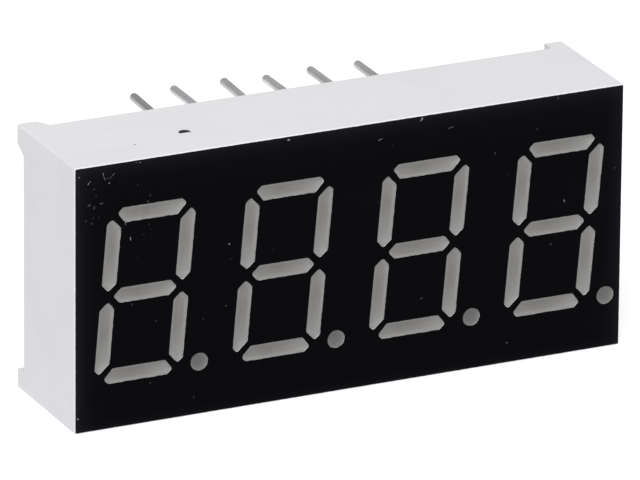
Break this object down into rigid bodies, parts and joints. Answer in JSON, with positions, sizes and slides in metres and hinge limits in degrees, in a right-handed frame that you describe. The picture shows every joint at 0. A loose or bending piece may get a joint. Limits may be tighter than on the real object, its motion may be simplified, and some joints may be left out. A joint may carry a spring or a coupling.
{
  "type": "seven segment display module",
  "caption": "Numeric LED display block with a black face, slanted light segments and decimal points, on rows of through-hole leads.",
  "frame": {"origin": "on the ground, below the middle of the whole depth and width, the display standing on its long lower side", "axes": "+X across the digits from the first to the last, +Y from the face to the tips of the leads, +Z to the digits' tops"},
  "size_m": [0.03, 0.0132, 0.014],
  "materials": {
    "reflector_plastic": "satin moulded, faintly cool white",
    "black_print": "semi-matt screen print",
    "segment_epoxy": "diffusing grey epoxy, smooth",
    "board_laminate": "green solder mask over glass laminate",
    "copper_foil": "bright copper",
    "die_crystal": "polished crystal",
    "bond_gold": "drawn gold wire",
    "tinned_lead": "tinned, satin",
    "solder": "smooth solder",
    "clear_potting": "clear cast resin, slightly milky"
  },
  "bodies": {
    "root": {"housing": "reflector_plastic", "front_print": "black_print", "digit_1_segment_a": "segment_epoxy", "digit_1_segment_b": "segment_epoxy", "digit_1_segment_c": "segment_epoxy", "digit_1_segment_d": "segment_epoxy", "digit_1_segment_e": "segment_epoxy", "digit_1_segment_f": "segment_epoxy", "digit_1_segment_g": "segment_epoxy", "digit_2_segment_a": "segment_epoxy", "digit_2_segment_b": "segment_epoxy", "digit_2_segment_c": "segment_epoxy", "digit_2_segment_d": "segment_epoxy", "digit_2_segment_e": "segment_epoxy", "digit_2_segment_f": "segment_epoxy", "digit_2_segment_g": "segment_epoxy", "digit_3_segment_a": "segment_epoxy", "digit_3_segment_b": "segment_epoxy", "digit_3_segment_c": "segment_epoxy", "digit_3_segment_d": "segment_epoxy", "digit_3_segment_e": "segment_epoxy", "digit_3_segment_f": "segment_epoxy", "digit_3_segment_g": "segment_epoxy", "digit_4_segment_a": "segment_epoxy", "digit_4_segment_b": "segment_epoxy", "digit_4_segment_c": "segment_epoxy", "digit_4_segment_d": "segment_epoxy", "digit_4_segment_e": "segment_epoxy", "digit_4_segment_f": "segment_epoxy", "digit_4_segment_g": "segment_epoxy", "digit_1_point": "segment_epoxy", "digit_2_point": "segment_epoxy", "digit_3_point": "segment_epoxy", "digit_4_point": "segment_epoxy", "circuit_board": "board_laminate", "front_copper": "copper_foil", "rear_copper": "copper_foil", "led_dies_1": "die_crystal", "led_dies_2": "die_crystal", "led_dies_3": "die_crystal", "led_dies_4": "die_crystal", "bond_wires_1": "bond_gold", "bond_wires_2": "bond_gold", "bond_wires_3": "bond_gold", "bond_wires_4": "bond_gold", "pin_1": "tinned_lead", "pin_2": "tinned_lead", "pin_3": "tinned_lead", "pin_4": "tinned_lead", "pin_5": "tinned_lead", "pin_6": "tinned_lead", "pin_7": "tinned_lead", "pin_8": "tinned_lead", "pin_9": "tinned_lead", "pin_10": "tinned_lead", "pin_11": "tinned_lead", "pin_12": "tinned_lead", "solder_joints": "solder", "rear_potting": "clear_potting"}
  },
  "joints": []
}
